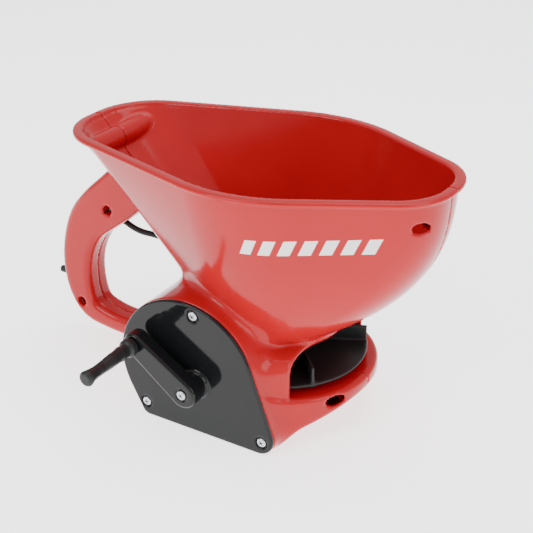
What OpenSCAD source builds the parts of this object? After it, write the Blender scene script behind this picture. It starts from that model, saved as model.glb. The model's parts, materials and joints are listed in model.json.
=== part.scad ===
// Hand-held broadcast spreader with a side crank and a D-handle.
// Millimetres. The origin is where the impeller's axis meets the floor.
// +X is the throwing direction, -Y is the crank side and +Z is up.

/* [Hopper] */
// Length of the hopper rim, rear to front
rim_length = 300; // [250:1:360]
// Rear end of the rim, measured back from the impeller axis
rim_rear = 170; // [140:1:200]
// Height of the rim's top above the floor
rim_z = 199; // [165:1:240]
// Half width where the two long sides of the rim would meet
rim_mid_half = 97; // [85:1:116]
// Half width of the rim at its rear edge
rim_rear_half = 44; // [38:1:52]
// Half width of the rim at its front edge
rim_front_half = 31.6; // [28:0.1:38]
// Place of the rim's widest point ahead of the impeller axis
rim_mid_x = 7.5; // [0:0.5:20]
// Width of the lip outside the hopper wall
lip_width = 4.6; // [3:0.1:7]
// Thickness of the lip
lip_thickness = 3.6; // [2.5:0.1:6]
// Hopper wall, measured level
hopper_wall = 3.4; // [2.4:0.1:5]
// Radius of the hopper's throat
throat_r = 46; // [44:0.5:52]
// Height of the throat's lower edge above the floor
throat_z = 67; // [64:0.5:76]

/* [Base] */
// Radius of the round base and its deck
base_r = 72; // [70:0.5:80]
// Height of the deck's top above the floor
deck_z = 39; // [37:0.5:44]
// Wall of the base, housing and handle
shell_wall = 2.8; // [2:0.1:3.5]
// Rise of the base's front underside, degrees
front_rise = 30.5; // [20:0.5:34]
// Where the front underside starts to rise, ahead of the axis
front_start = 23; // [18:0.5:30]
// Where the discharge mouth starts, ahead of the axis
mouth_x = 38; // [32:0.5:44]

/* [Gear housing] */
// Distance of the cover's outer face from the middle plane
cover_y = 79.4; // [78:0.1:90]
// Thickness of the gear cover
cover_thickness = 3; // [2.4:0.1:4]
// Radius of the cover's big round
cover_r = 57.4; // [55:0.2:66]
// Radius of the cover's front corner
cover_front_r = 13; // [12:0.5:18]

/* [Crank] */
// Distance from the crank's axis to the knob's axis
crank_length = 50; // [40:1:65]
// Direction of the crank arm above the forward direction, degrees
crank_angle = 144.7; // [0:0.1:360]
// Thickness of the crank arm
arm_thickness = 12; // [8:0.5:16]
// Radius of the arm's hub end
arm_hub_r = 11; // [9:0.5:14]
// Radius of the arm's knob end
arm_knob_r = 8.5; // [7:0.5:11]
// Length of the knob
knob_length = 52; // [40:1:65]
// Radius of the crank shaft
crank_shaft_r = 5; // [4:0.5:6]

/* [Gears] */
// Module of the two spur gears
spur_module = 1.25; // [1.25:0.05:1.3]
// Teeth on the crank gear
crank_teeth = 42; // [42:1:42]
// Teeth on the spur pinion
pinion_teeth = 12; // [12:1:12]
// Width of the crank gear
spur_width = 6; // [5:0.5:6.5]
// Module of the two bevel gears
bevel_module = 1; // [0.9:0.05:1.1]
// Teeth on the bevel gear
bevel_teeth = 24; // [24:1:24]
// Teeth on the bevel pinion
bevel_pinion_teeth = 12; // [12:1:12]
// Gap between a tooth's flank and its neighbour's
backlash = 0.2; // [0.15:0.05:0.3]

/* [Impeller] */
// Radius of the impeller disc
disc_r = 63.5; // [58:0.5:66]
// Thickness of the disc and of its vanes
disc_thickness = 2.4; // [2:0.1:3]
// Height of the vanes above the disc
vane_height = 14; // [10:0.5:15]
// Number of vanes
vane_count = 5; // [3:1:6]
// Radius of the impeller shaft
shaft_r = 3; // [2.5:0.1:3.5]
// Radius of the layshaft
layshaft_r = 2.5; // [2:0.1:3]
// Wall of the plain bushes
bush_wall = 2; // [1.5:0.1:2.5]

/* [Handle] */
// Half the handle's width across the middle plane
handle_half = 13; // [11:0.5:16]
// Thickness of the grip at mid height, front to back
grip_depth = 28.5; // [26:0.5:34]

/* [Flow control] */
// Travel of the flow lever and of the gate
flow_travel = 22; // [16:1:24]
// Thickness of the gate
gate_thickness = 1.6; // [1.2:0.1:1.8]
// Width of the outlet port and of the gate's window
port_width = 18; // [14:1:19]
// Length of the outlet port along the travel
port_length = 18; // [12:1:19]
// Radius of the control wire
wire_r = 0.8; // [0.6:0.1:1]
// Radius of the control cable's sleeve
cable_r = 2.4; // [2:0.1:3]

/* [Fasteners] */
// Radius of a screw's head
head_r = 3.6; // [3:0.1:4]
// Height of a screw's head
head_height = 2.2; // [1.6:0.1:3]
// Radius of a screw's shank
shank_r = 1.8; // [1.4:0.1:2]

/* [Clearances] */
// Radial clearance of a shaft in its bush
run_gap = 0.06; // [0.02:0.01:0.1]
// Gap between pieces that pass each other
pass_gap = 0.5; // [0.35:0.05:0.8]

/* [Hidden] */
$fn = 48;

red = "#b3231f";
black = "#1d1f20";
steel = "#b9bcc0";
nylon = "#e8e4d8";
brass = "#b9975b";
eps = 0.01;
big = 600;

// step of the arcs in a rounded outline, degrees
outline_step = 7.5;

// hopper sections
corner_steps = 6;
level_count = 9;
rim_front = rim_length - rim_rear;
rim_corner_r = [50, 107, 46, 46, 107, 50];
rim_corners = [[-rim_rear, -rim_rear_half], [rim_mid_x, -rim_mid_half], [rim_front, -rim_front_half],
    [rim_front, rim_front_half], [rim_mid_x, rim_mid_half], [-rim_rear, rim_rear_half]];
throat_corners = [for (a = [210, 270, 330, 30, 90, 150]) throat_r / cos(30) * [cos(a), sin(a)]];
// how fast the rear and middle corners of the hopper spread with height
flare = [1, 0.5, 0, 0, 0.5, 1];
// the front bellies out: share of the height where it starts, and how full it is
front_flare_start = 0.045;
front_flare = 2.6;
throat_floor = 3;

// base, deck and impeller chamber
chamber_gap = 1.6;
chamber_r = disc_r + chamber_gap;
chamber_round = 8;
deck_thickness = 3;
disc_z = deck_z + 5.6;
roof_z = throat_z;
chamber_wall = 3;
boss_r = 8;
vane_start = 34;
vane_offset = 6;
vane_sweep = 8;

// gear housing
cover_c = [-36, 49];
cover_front_c = [24, cover_front_r];
cover_rear_c = [-71, 7];
cover_rear_r = 7;
housing_y = cover_y - cover_thickness;
cover_screw_places = [[-28, 97.5], [-73, 11.5], [27.5, 10.5]];
cover_boss_r = 6.2;
housing_back_y = 30;
cover_pocket_r = head_r + 1.2;
cover_pocket_depth = 1.6;

// gear train
crank_c = [-27, 43];
spur_distance = spur_module * (crank_teeth + pinion_teeth) / 2;
lay_z = crank_c[1] - sqrt(spur_distance * spur_distance - crank_c[0] * crank_c[0]);
mesh_angle = atan2(lay_z - crank_c[1], -crank_c[0]);
gear_front_y = housing_y - 2.4;
gear_back_y = gear_front_y - spur_width;
bevel_r = bevel_module * bevel_teeth / 2;
bevel_pinion_r = bevel_module * bevel_pinion_teeth / 2;
bevel_share = 0.68;
web_front_y = 22;
web_back_y = 14;
lay_bush_r = layshaft_r + bush_wall;
lay_end_y = housing_y + 1.8;
lay_boss_y = housing_y - 1.2;
lay_inner_y = bevel_pinion_r - 0.6;
crank_stub_r = crank_shaft_r - 1;
crank_stub = 5;
gear_wall_y = gear_back_y - 0.8;
crank_gear_tip_r = spur_module * (crank_teeth / 2 + 1);

// crank
cover_boss_y = cover_y + 3;
arm_back_y = cover_y + 6.6;
arm_front_y = arm_back_y + arm_thickness;
knob_c = crank_c + crank_length * [cos(crank_angle), sin(crank_angle)];
knob_pin_r = 3;
grip_half = 4.4;
grip_width = 20;

// impeller shaft
foot_bush_z = 2.6;
shaft_bottom_z = foot_bush_z + 1;
agitator_z = throat_z + throat_floor + 5;
shaft_top_z = agitator_z + 8;
impeller_bush_r = shaft_r + bush_wall;

// flow control
gate_top_z = throat_z - pass_gap;
gate_y = 20;
gate_side = 2.5;
port_front_x = -7;
gate_front_x = port_front_x + gate_side;
window_front_x = port_front_x - flow_travel;
gate_rear_x = window_front_x - port_length - gate_side;
wire_y = gate_y;
wire_z = gate_top_z - gate_thickness / 2;
lever_c = [-185, 51];
slot_half = 2.2;
slot_front_x = -197;
lever_tip_x = -219;
lever_knob_r = 3;
lever_knob_length = 6;
lever_gap = 0.4;
ferrule_length = flow_travel + 8;
gate_ferrule_x = -chamber_r + 2;
lever_ferrule_z = lever_c[1] + flow_travel + 10;
cable_turns = 8;
cable_route = [[-185, 0, 113.7], [-184, 0, 119], [-179, 0, 123.5], [-172.5, 0, 123], [-166, 0, 119],
    [-159.5, 0, 115], [-152, 0, 113.5], [-145, 0, 111], [-138.5, 1, 107.5], [-132, 3.5, 104.5],
    [-124, 7, 102.5], [-116, 10, 100], [-108, 13, 95.5], [-102, 16, 88], [-99, 18, 80], [-99.5, 19, 73],
    [-98, 19.8, 68], [-94.4, 20, 66.1]];

// handle: centre of the bar along the loop, and half its depth there
handle_line = [[-108, 160, 20], [-130, 150, 20], [-148.5, 134.5, 20], [-165, 121, 19], [-179, 107, 17.2],
    [-188.5, 87.5, 15.4], [-192.8, 66.5, grip_depth / 2], [-191, 44, 13], [-182.5, 27.5, 10.4],
    [-165, 21.5, 8.6], [-146, 19.5, 8.2], [-110, 18.5, 8.4], [-66, 18.5, 8.6]];
handle_screws = [[-154, 124], [-189, 33]];
front_screw = [116, 178];
deck_screw = [62, 32];
screw_y = 5;
screw_boss_r = 5.6;
pocket_r = head_r + 0.5;

// ---- helper functions ----

function unit(v) = v / norm(v);
function mix(a, b, t) = a + (b - a) * t;

// corners of a convex outline moved inwards by d
function inset(c, d) = [for (i = [0:len(c) - 1])
    let (n = len(c),
        u = unit(c[i] - c[(i + n - 1) % n]),
        v = unit(c[(i + 1) % n] - c[i]),
        nu = [-u[1], u[0]],
        nv = [-v[1], v[0]])
    c[i] + d * (nu + nv) / (1 + nu * nv)];

// arc that rounds the corner b between a and c; the radius is held to what the edges allow
function corner_arc(a, b, c, r) =
    let (u = unit(a - b),
        v = unit(c - b),
        half = acos(u * v) / 2,
        room = 0.498 * min(norm(a - b), norm(c - b)) * tan(half),
        rr = min(r, room),
        centre = b + unit(u + v) * rr / sin(half),
        first = b + u * rr / tan(half) - centre,
        start = atan2(first[1], first[0]),
        sweep = 180 - 2 * half)
    [for (i = [0:corner_steps]) centre + rr * [cos(start + sweep * i / corner_steps),
        sin(start + sweep * i / corner_steps)]];

function rounded(c, r) = [for (i = [0:len(c) - 1])
    each corner_arc(c[(i + len(c) - 1) % len(c)], c[i], c[(i + 1) % len(c)], r[i])];

// how far corner k has spread from the throat to the rim at share s of the height
function spread(s, k) = (flare[k] > 0)
    ? pow(s, flare[k])
    : 1 - pow(1 - max(0, s - front_flare_start) / (1 - front_flare_start), front_flare);

// hopper outline at share s of its height, moved inwards by d
function hopper_corners(s) =
    let (wall_corners = inset(rim_corners, lip_width))
    [for (k = [0:5]) mix(throat_corners[k], wall_corners[k], spread(s, k))];
function hopper_radii(s, d) = [for (k = [0:5])
    max(1, mix(throat_r, rim_corner_r[k] - lip_width, spread(s, k)) - d)];
function hopper_section(s, d) = rounded(inset(hopper_corners(s), d), hopper_radii(s, d));

// outward direction of the line that touches circles p and q on the right of the way from p to q
function touch_angle(p, q) =
    let (d = [q[0] - p[0], q[1] - p[1]])
    atan2(d[1], d[0]) - acos((p[2] - q[2]) / norm(d));

// convex outline round a ring of circles [x, y, r], listed anticlockwise
function round_outline(circles) =
    let (n = len(circles))
    [for (i = [0:n - 1])
        let (c = circles[i],
            first = touch_angle(circles[(i + n - 1) % n], c),
            last = touch_angle(c, circles[(i + 1) % n]),
            sweep = (last - first + 720) % 360,
            steps = max(1, ceil(sweep / outline_step)))
        for (k = [0:steps])
            [c[0], c[1]] + c[2] * [cos(first + sweep * k / steps), sin(first + sweep * k / steps)]];

// smooth curve through a list of points
function spline_point(p0, p1, p2, p3, t) =
    0.5 * (2 * p1 + (p2 - p0) * t + (2 * p0 - 5 * p1 + 4 * p2 - p3) * t * t
        + (3 * p1 - p0 - 3 * p2 + p3) * t * t * t);
function spline(p, n) = [for (i = [0:len(p) - 2], j = [0:n - 1])
    spline_point(p[max(i - 1, 0)], p[i], p[i + 1], p[min(i + 2, len(p) - 1)], j / n), p[len(p) - 1]];

// points to one side of the handle's centre line, d inside its surface
function handle_side(side, d) =
    let (p = spline(handle_line, 4), n = len(p))
    [for (i = [0:n - 1])
        let (a = p[max(i - 1, 0)],
            b = p[min(i + 1, n - 1)],
            t = unit([b[0] - a[0], b[1] - a[1]]))
        [p[i][0], p[i][1]] + side * (p[i][2] - d) * [-t[1], t[0]]];
function reversed(p) = [for (i = [len(p) - 1:-1:0]) p[i]];

// ---- helper modules ----

// stack of outlines, all with the same number of points, as one closed solid
module loft(outlines, heights) {
    n = len(outlines[0]);
    m = len(outlines);
    points = [for (j = [0:m - 1]) for (q = outlines[j]) [q[0], q[1], heights[j]]];
    sides = [for (j = [0:m - 2]) for (i = [0:n - 1])
        [(j + 1) * n + i, (j + 1) * n + (i + 1) % n, j * n + (i + 1) % n, j * n + i]];
    floor_face = [for (i = [0:n - 1]) i];
    top_face = [for (i = [n - 1:-1:0]) (m - 1) * n + i];
    polyhedron(points, concat([floor_face], sides, [top_face]), convexity = 4);
}

// extrusion in the crank direction, from y = -near to y = -far
module across(near, far) {
    translate([0, -near, 0]) rotate([90, 0, 0]) linear_extrude(far - near) children();
}

// round bar along Y from y = -near to y = -far, centred on c in the XZ plane
module bar_y(c, r, near, far) {
    across(near, far) translate(c) circle(r);
}

module ring(outer_r, inner_r, height) {
    difference() {
        cylinder(r = outer_r, h = height);
        translate([0, 0, -1]) cylinder(r = inner_r, h = height + 2);
    }
}

// half space on one side of the middle plane
module half(side) {
    translate([-big / 2, side > 0 ? 0 : -big / 2, -big / 2]) cube([big, big / 2, big]);
}

module cover_outline(d) {
    polygon(round_outline([[cover_c[0], cover_c[1], cover_r - d],
        [cover_rear_c[0], cover_rear_c[1], cover_rear_r - d],
        [cover_front_c[0], cover_front_c[1], cover_front_r - d]]));
}

// ---- shells ----

module hopper_outer() {
    shares = [for (i = [0:level_count]) pow(i / level_count, 2)];
    loft([for (s = shares) hopper_section(s, 0)],
        [for (s = shares) mix(throat_z, rim_z - lip_thickness / 2, s)]);
}

module hopper_inner() {
    shares = [for (i = [0:level_count]) pow(i / level_count, 2)];
    bottom = throat_z + throat_floor;
    loft([for (s = concat(shares, [1])) hopper_section(s, hopper_wall)],
        concat([for (s = shares) mix(bottom, rim_z - lip_thickness / 2, s)], [rim_z + 1]));
}

module rim_lip() {
    translate([0, 0, rim_z - lip_thickness]) linear_extrude(lip_thickness)
        polygon(rounded(rim_corners, rim_corner_r));
}

// side view of the base, d inside its surface
module base_side(d) {
    reach = base_r - d;
    front = front_start + d / tan(90 - front_rise / 2);
    top = deck_z - (d > 0 ? deck_thickness : 0);
    polygon([[-reach - 1, d], [front, d], [reach + 1, d + (reach + 1 - front) * tan(front_rise)],
        [reach + 1, top], [-reach - 1, top]]);
}

module base_body(d) {
    intersection() {
        translate([0, 0, -1]) cylinder(r = base_r - d, h = deck_z + 2, $fn = 96);
        across(-base_r, base_r) base_side(d);
    }
}

// impeller chamber as a turned profile, d outside its inner surface
module chamber_body(d, bottom) {
    r = chamber_r + d;
    round_c = [chamber_r - chamber_round, roof_z - chamber_round];
    rotate_extrude($fn = 96) polygon(concat([[0, bottom], [r, bottom]],
        [for (a = [0:15:90]) round_c + (chamber_round + d) * [cos(a), sin(a)]],
        [[0, roof_z + d]]));
}

module handle_bar(d, half_width) {
    across(-half_width, half_width)
        polygon(concat(handle_side(1, d), reversed(handle_side(-1, d))));
}

module shell_outside() {
    hopper_outer();
    rim_lip();
    base_body(0);
    intersection() {
        chamber_body(chamber_wall, deck_z - 1);
        translate([mouth_x - big, -big / 2, 0]) cube([big, big, big]);
    }
    across(housing_back_y, housing_y) cover_outline(0);
    handle_bar(0, handle_half - 3);
    handle_bar(3, handle_half);
}

module shell_hollows() {
    hopper_inner();
    base_body(shell_wall);
    chamber_body(0, deck_z);
    translate([0, 0, throat_z - 1]) cylinder(r = throat_r - 3, h = throat_floor + 2, $fn = 96);
    difference() {
        across(housing_back_y - 2, housing_y + 1) cover_outline(shell_wall);
        chamber_body(chamber_wall, deck_z - deck_thickness);
        hopper_outer();
    }
    difference() {
        handle_bar(shell_wall, handle_half - shell_wall);
        hopper_outer();
        base_body(0);
    }
}

module screw_boss(c, reach) {
    bar_y(c, screw_boss_r, -reach, reach);
}

module shell_insides() {
    // bosses of the cover screws
    for (c = cover_screw_places) bar_y(c, cover_boss_r, 55, housing_y);
    // bosses of the screws that join the halves
    for (c = handle_screws) screw_boss(c, handle_half - 1);
    screw_boss(front_screw, 16);
    screw_boss(deck_screw, 24);
    // half-round bead inside the rear wall
    intersection() {
        bar_y([-rim_rear + 22, rim_z - 16], 8.5, -46, 46);
        hopper_outer();
    }
    // bearing bosses on the impeller axis
    cylinder(r = boss_r, h = foot_bush_z + 6);
    translate([0, 0, deck_z - deck_thickness]) cylinder(r = boss_r, h = deck_thickness + 2.4);
    // web that carries the layshaft's inner bush
    translate([-16, -web_front_y, 1]) cube([32, web_front_y - web_back_y, deck_z - 2]);
    // boss behind the crank gear
    bar_y(crank_c, crank_stub_r + 5, 50, gear_wall_y);
    // rib that holds the cable's upper ferrule
    translate([lever_c[0] - 12, -handle_half, lever_ferrule_z + 12]) cube([24, 2 * handle_half, 4]);
}

module shell_bores() {
    // cover screws, crank stub and layshaft
    for (c = cover_screw_places) bar_y(c, shank_r, 58, housing_y + 1);
    bar_y(crank_c, crank_stub_r + run_gap, gear_back_y - crank_stub - 0.4, housing_y);
    bar_y(crank_c, crank_gear_tip_r + 1.2, gear_wall_y, housing_y + 1);
    bar_y([0, lay_z], lay_bush_r, web_back_y - 1, web_front_y + 1);
    // bushes of the impeller shaft
    translate([0, 0, foot_bush_z]) cylinder(r = impeller_bush_r, h = deck_z);
    translate([0, 0, deck_z - deck_thickness - 1]) cylinder(r = impeller_bush_r, h = deck_thickness + 6);
    // screw pockets and shank holes
    for (c = concat(handle_screws, [front_screw, deck_screw])) {
        bar_y(c, pocket_r, screw_y, big / 4);
        bar_y(c, shank_r, -screw_y - 4, screw_y + 1);
    }
    // slot for the flow lever
    translate([slot_front_x - big, -slot_half, lever_c[1] - 3])
        cube([big, 2 * slot_half, flow_travel + 6]);
    // ways through for the control cable and its ferrules
    cable_tube(cable_r + 0.4);
    translate([lever_c[0], 0, lever_ferrule_z]) cylinder(r = cable_r, h = ferrule_length);
    translate([gate_ferrule_x - ferrule_length, wire_y, wire_z]) rotate([0, 90, 0])
        cylinder(r = cable_r, h = ferrule_length + 8);
}

module shell(side) {
    color(red) intersection() {
        difference() {
            union() {
                difference() {
                    shell_outside();
                    shell_hollows();
                }
                intersection() {
                    shell_insides();
                    shell_envelope();
                }
            }
            chamber_cut();
            shell_bores();
        }
        half(side);
    }
}

module shell_envelope() {
    hopper_outer();
    base_body(0);
    translate([0, 0, deck_z - 1]) cylinder(r = boss_r, h = 8);
    across(housing_back_y - 2, housing_y) cover_outline(0);
    handle_bar(0, handle_half - 1);
}

module chamber_cut() {
    difference() {
        chamber_body(0, deck_z);
        translate([0, 0, deck_z - 1]) cylinder(r = boss_r, h = 3.4);
    }
}

module right_shell() { shell(-1); }
module left_shell() { shell(1); }

// ---- fasteners ----

// pan-head screw along Y with the underside of its head at y = -seat
module screw(c, seat, length) {
    difference() {
        union() {
            bar_y(c, shank_r, seat - length, seat + eps);
            bar_y(c, head_r, seat, seat + head_height);
        }
        across(seat + head_height - 1, seat + head_height + 1) translate(c) {
            square([head_r * 1.1, 0.8], center = true);
            square([0.8, head_r * 1.1], center = true);
        }
    }
}

module gear_cover() {
    color(black) difference() {
        union() {
            across(housing_y, cover_y - 0.8) cover_outline(0);
            across(cover_y - 0.8 - eps, cover_y) cover_outline(0.8);
            bar_y(crank_c, crank_shaft_r + bush_wall + 3, housing_y, cover_boss_y);
            bar_y([0, lay_z], lay_bush_r + 2, lay_boss_y, housing_y + 1);
        }
        bar_y(crank_c, crank_shaft_r + bush_wall, 0, cover_y + 10);
        bar_y([0, lay_z], lay_bush_r, 0, lay_end_y);
        for (c = cover_screw_places) {
            bar_y(c, cover_pocket_r, cover_y - cover_pocket_depth, cover_y + 1);
            bar_y(c, shank_r, 0, cover_y);
        }
    }
}

module cover_screws() {
    color(steel) for (c = cover_screw_places) screw(c, cover_y - cover_pocket_depth, 14);
}

module shell_screws() {
    color(steel) for (c = concat(handle_screws, [front_screw, deck_screw])) screw(c, screw_y, screw_y + 4);
}

// ---- drive train ----

// spur gear outline with straight-sided teeth, the first tooth centred on angle 0
module spur_outline(teeth) {
    r = spur_module * teeth / 2;
    pitch = 360 / teeth;
    tip_r = r + 0.92 * spur_module;
    root_r = r - 1.2 * spur_module;
    pitch_half = pitch / 4 - backlash / r * 28.6;
    tip_half = pitch_half * 0.5;
    root_half = pitch_half * (teeth < 20 ? 1.25 : 1.5);
    polygon([for (k = [0:teeth - 1]) for (p = [[root_r, -root_half], [r, -pitch_half], [tip_r, -tip_half],
        [tip_r, tip_half], [r, pitch_half], [root_r, root_half]])
        p[0] * [cos(k * pitch + p[1]), sin(k * pitch + p[1])]]);
}

// straight bevel gear whose axis is +Z, with its apex at the origin
module bevel_body(teeth, r, mate_r, back) {
    cone = norm([r, mate_r]);
    pitch = 360 / teeth;
    lean = [mate_r, -r] / cone;
    tip = [r, mate_r] + 0.8 * bevel_module * lean;
    root = [r, mate_r] - 1.25 * bevel_module * lean;
    tip_half = pitch / 4 * 0.5;
    root_half = pitch / 4 * 1.15;
    profile = [for (k = [0:teeth - 1])
        for (p = [[root, -root_half], [tip, -tip_half], [tip, tip_half], [root, root_half]])
            [p[0][0] * cos(k * pitch + p[1]), p[0][0] * sin(k * pitch + p[1]), p[0][1]]];
    n = len(profile);
    polyhedron(concat(profile, profile * bevel_share,
            [[0, 0, root[1] + back], [0, 0, root[1] * bevel_share]]),
        concat([for (i = [0:n - 1]) [i, (i + 1) % n, n + (i + 1) % n]],
            [for (i = [0:n - 1]) [i, n + (i + 1) % n, n + i]],
            [for (i = [0:n - 1]) [(i + 1) % n, i, 2 * n]],
            [for (i = [0:n - 1]) [n + i, n + (i + 1) % n, 2 * n + 1]]),
        convexity = 6);
}

module crank_gear() {
    color(nylon) difference() {
        union() {
            across(gear_back_y, gear_front_y) translate(crank_c) rotate(mesh_angle) difference() {
                spur_outline(crank_teeth);
                for (a = [0:60:300]) rotate(a) translate([15.5, 0]) circle(4.2);
            }
            bar_y(crank_c, 9, gear_back_y, gear_front_y + 1.6);
            bar_y(crank_c, crank_shaft_r, gear_back_y, arm_back_y);
            bar_y(crank_c, crank_stub_r, gear_back_y - crank_stub, arm_front_y - 3);
        }
        bar_y(crank_c, shank_r, arm_front_y - 14, arm_front_y);
    }
}

module crank_bush() {
    color(brass) difference() {
        bar_y(crank_c, crank_shaft_r + bush_wall, housing_y, cover_boss_y);
        bar_y(crank_c, crank_shaft_r + run_gap, 0, cover_y + 10);
    }
}

module arm_outline(d) {
    polygon(round_outline([[crank_c[0], crank_c[1], arm_hub_r - d], [knob_c[0], knob_c[1], arm_knob_r - d]]));
}

module crank_arm() {
    color(black) difference() {
        union() {
            across(arm_back_y, arm_front_y - 1) arm_outline(0);
            across(arm_front_y - 1 - eps, arm_front_y) arm_outline(0.8);
            bar_y(crank_c, arm_hub_r - 0.5, cover_boss_y + pass_gap, arm_back_y + 1);
        }
        bar_y(crank_c, crank_shaft_r, 0, arm_back_y);
        bar_y(crank_c, crank_stub_r, 0, arm_front_y - 3);
        bar_y(crank_c, shank_r, 0, arm_front_y + 1);
        bar_y(crank_c, head_r + 1, arm_front_y - 1, arm_front_y + 1);
        bar_y(knob_c, knob_pin_r, 0, arm_front_y + 1);
        bar_y(knob_c, knob_pin_r + 2, arm_back_y - 1, arm_back_y + 3);
    }
}

module crank_screw() {
    color(steel) screw(crank_c, arm_front_y - 1, 12);
}

module knob_pin() {
    color(steel) {
        bar_y(knob_c, knob_pin_r, arm_back_y + 1, arm_front_y + knob_length - 8);
        bar_y(knob_c, knob_pin_r + 1.6, arm_back_y + 0.6, arm_back_y + 3);
    }
}

// turned profile of the knob: [radius, distance from its root]
function knob_profile() = [[7, 0], [7, 6], [5.2, 7.5], [5.2, 11], [6, 14], [6.2, 24], [5, 34], [4.9, 41],
    [6, knob_length - 5], [5.8, knob_length - 1.5], [4.2, knob_length]];

module crank_knob() {
    root_y = arm_front_y + pass_gap;
    color(black) difference() {
        translate([knob_c[0], -root_y, knob_c[1]]) rotate([90, 0, 0])
            rotate_extrude() polygon(concat([[0, 0]], knob_profile(), [[0, knob_length]]));
        bar_y(knob_c, knob_pin_r + run_gap, 0, root_y + knob_length - 7);
        // the grip is flattened on two sides
        for (side = [0, 180]) translate([knob_c[0], 0, knob_c[1]]) rotate([0, crank_angle + side, 0])
            translate([-grip_width, -root_y - knob_length + 5, grip_half])
                    cube([2 * grip_width, knob_length - 20, grip_width]);
    }
}

module layshaft() {
    color(steel) bar_y([0, lay_z], layshaft_r, lay_inner_y + 0.6, lay_end_y - 0.4);
}

module layshaft_pinion() {
    color(nylon) difference() {
        union() {
            across(gear_back_y - 0.3, gear_front_y + 0.3) translate([0, lay_z])
                rotate(mesh_angle + 180 + 180 / pinion_teeth) spur_outline(pinion_teeth);
            bar_y([0, lay_z], layshaft_r + 2.4, gear_back_y - 4, gear_back_y);
        }
        bar_y([0, lay_z], layshaft_r, 0, big);
    }
}

module layshaft_bevel_gear() {
    color(nylon) difference() {
        union() {
            translate([0, 0, lay_z]) rotate([90, 0, 0])
                bevel_body(bevel_teeth, bevel_r, bevel_pinion_r, 1.5);
            bar_y([0, lay_z], layshaft_r + 2.4, lay_inner_y + 1.2, web_back_y - pass_gap);
        }
        bar_y([0, lay_z], layshaft_r, -big, big);
        translate([0, 0, lay_z - 20]) cylinder(r = shaft_r + 1, h = 40);
    }
}

module layshaft_bushes() {
    color(brass) difference() {
        union() {
            bar_y([0, lay_z], lay_bush_r, web_back_y, web_front_y);
            bar_y([0, lay_z], lay_bush_r, lay_boss_y, lay_end_y);
        }
        bar_y([0, lay_z], layshaft_r + run_gap, 0, big);
    }
}

module impeller_shaft() {
    color(steel) translate([0, 0, shaft_bottom_z]) cylinder(r = shaft_r, h = shaft_top_z - shaft_bottom_z);
}

module impeller_bevel_pinion() {
    top = deck_z - deck_thickness - pass_gap;
    color(nylon) difference() {
        union() {
            translate([0, 0, lay_z]) rotate(180 / bevel_pinion_teeth)
                bevel_body(bevel_pinion_teeth, bevel_pinion_r, bevel_r, 0.3);
            translate([0, 0, lay_z + bevel_r - 1]) cylinder(r = shaft_r + 1.6, h = top - lay_z - bevel_r + 1);
        }
        cylinder(r = shaft_r, h = big);
    }
}

// one vane, swept back from the radial line
module vane(inner_r, outer_r) {
    rotate(-vane_sweep) translate([inner_r, -disc_thickness / 2, 0])
        cube([outer_r - inner_r, disc_thickness, vane_height + disc_thickness / 2]);
}

module impeller() {
    color(black) translate([0, 0, disc_z - disc_thickness / 2]) difference() {
        union() {
            cylinder(r = disc_r, h = disc_thickness, $fn = 96);
            cylinder(r = shaft_r + 5, h = vane_height);
            intersection() {
                cylinder(r = disc_r, h = big, $fn = 96);
                for (k = [0:vane_count - 1]) rotate(vane_start + 360 * k / vane_count)
                    translate([0, vane_offset, 0]) vane(shaft_r + 6, disc_r + 5);
            }
        }
        translate([0, 0, -1]) cylinder(r = shaft_r, h = big);
    }
}

module impeller_clip() {
    color(steel) translate([0, 0, disc_z + vane_height - disc_thickness / 2])
        ring(shaft_r + 2.5, shaft_r, 0.8);
}

module deck_bush() {
    color(brass) translate([0, 0, deck_z - deck_thickness])
        ring(impeller_bush_r, shaft_r + run_gap, deck_thickness + 2);
}

module foot_bush() {
    color(brass) translate([0, 0, foot_bush_z]) difference() {
        cylinder(r = impeller_bush_r, h = 6);
        translate([0, 0, shaft_bottom_z - foot_bush_z - 0.02]) cylinder(r = shaft_r + run_gap, h = 10);
    }
}

module agitator() {
    color(steel) translate([0, 0, agitator_z]) difference() {
        union() {
            cylinder(r = shaft_r + 2.5, h = 7);
            for (a = [20, 200]) rotate(a) translate([shaft_r + 1, 0, 3.5]) rotate([0, 70, 0])
                cylinder(r = 1.5, h = 20);
        }
        translate([0, 0, -1]) cylinder(r = shaft_r, h = 10);
    }
}

// ---- outlet and flow control ----

module throat_plate() {
    color(red) difference() {
        translate([0, 0, throat_z]) cylinder(r = throat_r - 3, h = throat_floor, $fn = 96);
        translate([0, 0, throat_z - 1]) cylinder(r = shaft_r + 0.4, h = throat_floor + 2);
        translate([port_front_x - port_length, gate_y - port_width / 2, throat_z - 1])
            cube([port_length, port_width, throat_floor + 2]);
    }
}

module flow_gate() {
    width = port_width + 2 * gate_side;
    color(black) difference() {
        translate([gate_rear_x, gate_y - width / 2, gate_top_z - gate_thickness])
            cube([gate_front_x - gate_rear_x, width, gate_thickness]);
        translate([window_front_x - port_length, gate_y - port_width / 2, gate_top_z - gate_thickness - 1])
            cube([port_length, port_width, gate_thickness + 2]);
    }
}

module gate_wire() {
    color(steel) translate([gate_ferrule_x - ferrule_length + 2, wire_y, wire_z]) rotate([0, 90, 0])
        cylinder(r = wire_r, h = gate_rear_x - gate_ferrule_x + ferrule_length - 2);
}

module flow_lever() {
    color(black) difference() {
        union() {
            translate([lever_c[0] - 5, -6, lever_c[1] - 5]) cube([8, 12, 14]);
            translate([lever_tip_x, -slot_half + lever_gap, lever_c[1] - 2.2])
                cube([lever_c[0] - 2 - lever_tip_x, 2 * (slot_half - lever_gap), 4.4]);
            translate([lever_tip_x, 0, lever_c[1]]) rotate([0, 90, 0])
                cylinder(r = lever_knob_r, h = lever_knob_length);
        }
        translate([lever_c[0], 0, lever_c[1] + 1]) cylinder(r = wire_r, h = 20);
    }
}

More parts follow.
